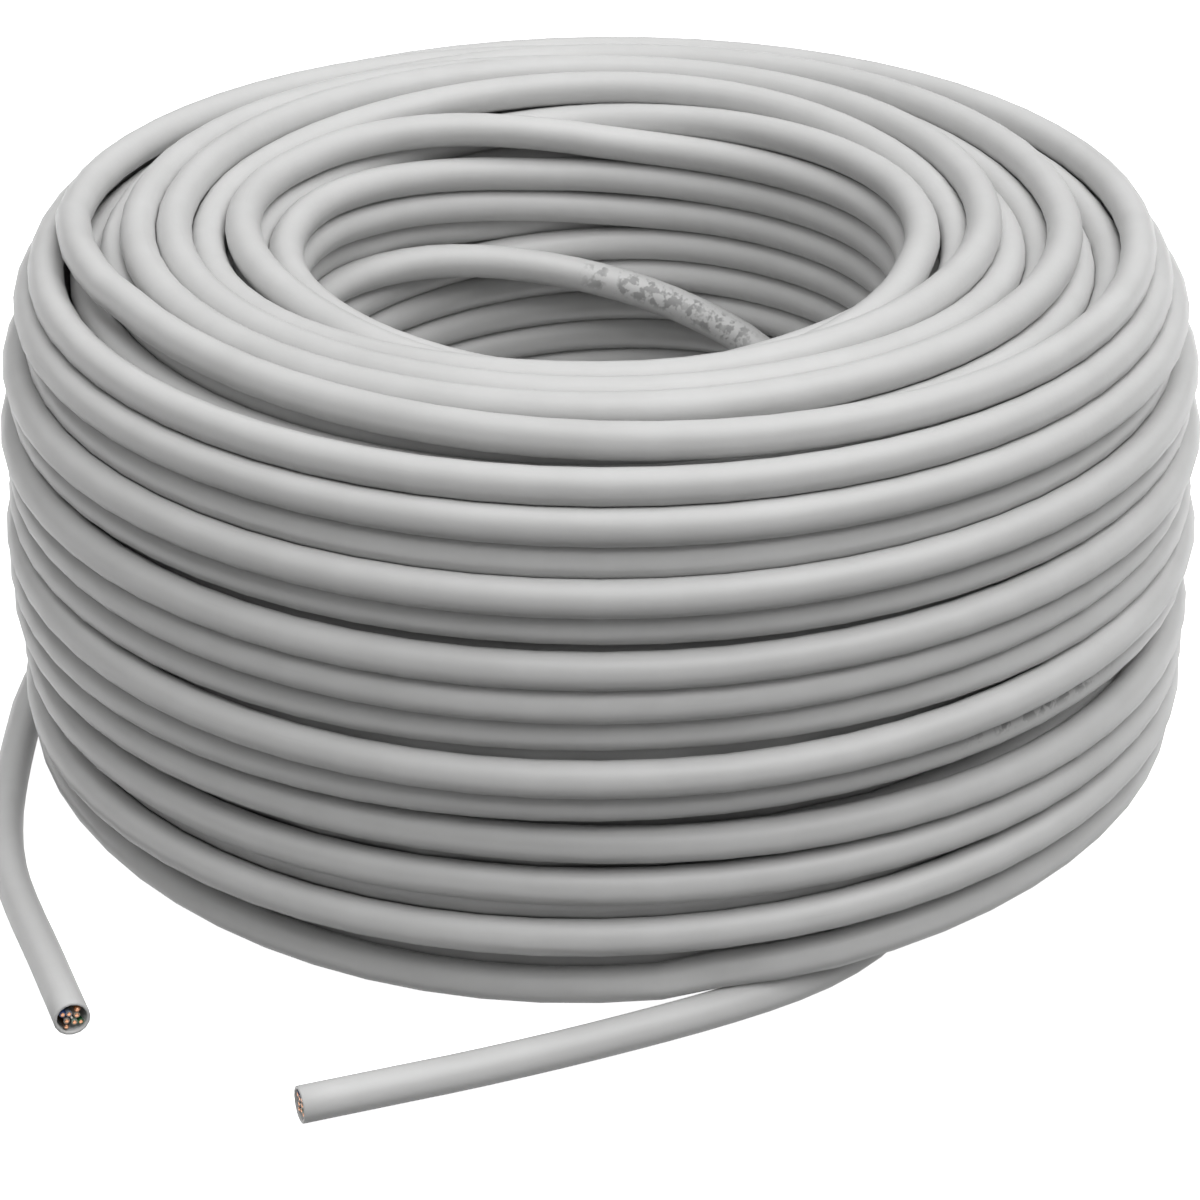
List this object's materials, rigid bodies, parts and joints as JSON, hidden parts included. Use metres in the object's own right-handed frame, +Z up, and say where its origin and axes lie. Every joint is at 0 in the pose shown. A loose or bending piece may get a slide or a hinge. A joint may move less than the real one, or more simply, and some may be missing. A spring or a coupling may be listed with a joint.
{
  "type": "coil of network cable",
  "caption": "Bare coil of round grey four-pair network cable, wound as a thick ring with an open eye and lying flat, with both cut ends of the cable loose beside it.",
  "frame": {"origin": "middle of the footprint of the whole coil with its two loose ends, on the surface that it lies on; the winding's own axis stands 1.1 mm towards +X and 9.7 mm towards +Y of it", "axes": "+Z up along the winding's axis, which is the shortest way through the part; -Y towards the side where the loose inner end lies, so Y is the longest way; +X to the right of that side"},
  "size_m": [0.1742, 0.1914, 0.085],
  "materials": {
    "cable_jacket": "smooth satin grey PVC, lightly handled",
    "insulation_blue": "solid blue polyethylene",
    "insulation_blue_white": "white polyethylene with a blue tint",
    "insulation_orange": "solid orange polyethylene",
    "insulation_orange_white": "white polyethylene with an orange tint",
    "insulation_green": "solid green polyethylene",
    "insulation_green_white": "white polyethylene with a green tint",
    "insulation_brown": "solid brown polyethylene",
    "insulation_brown_white": "white polyethylene with a brown tint",
    "copper": "bare bright copper, freshly cut",
    "rip_cord": "off-white nylon thread"
  },
  "bodies": {
    "root": {"coil_winding": "cable_jacket", "inner_lead_jacket": "cable_jacket", "outer_tail_jacket": "cable_jacket", "inner_end_blue_insulation": "insulation_blue", "inner_end_blue_core": "copper", "inner_end_blue_white_insulation": "insulation_blue_white", "inner_end_blue_white_core": "copper", "inner_end_orange_insulation": "insulation_orange", "inner_end_orange_core": "copper", "inner_end_orange_white_insulation": "insulation_orange_white", "inner_end_orange_white_core": "copper", "inner_end_green_insulation": "insulation_green", "inner_end_green_core": "copper", "inner_end_green_white_insulation": "insulation_green_white", "inner_end_green_white_core": "copper", "inner_end_brown_insulation": "insulation_brown", "inner_end_brown_core": "copper", "inner_end_brown_white_insulation": "insulation_brown_white", "inner_end_brown_white_core": "copper", "inner_end_rip_cord": "rip_cord", "outer_end_blue_insulation": "insulation_blue", "outer_end_blue_core": "copper", "outer_end_blue_white_insulation": "insulation_blue_white", "outer_end_blue_white_core": "copper", "outer_end_orange_insulation": "insulation_orange", "outer_end_orange_core": "copper", "outer_end_orange_white_insulation": "insulation_orange_white", "outer_end_orange_white_core": "copper", "outer_end_green_insulation": "insulation_green", "outer_end_green_core": "copper", "outer_end_green_white_insulation": "insulation_green_white", "outer_end_green_white_core": "copper", "outer_end_brown_insulation": "insulation_brown", "outer_end_brown_core": "copper", "outer_end_brown_white_insulation": "insulation_brown_white", "outer_end_brown_white_core": "copper", "outer_end_rip_cord": "rip_cord"}
  },
  "joints": []
}
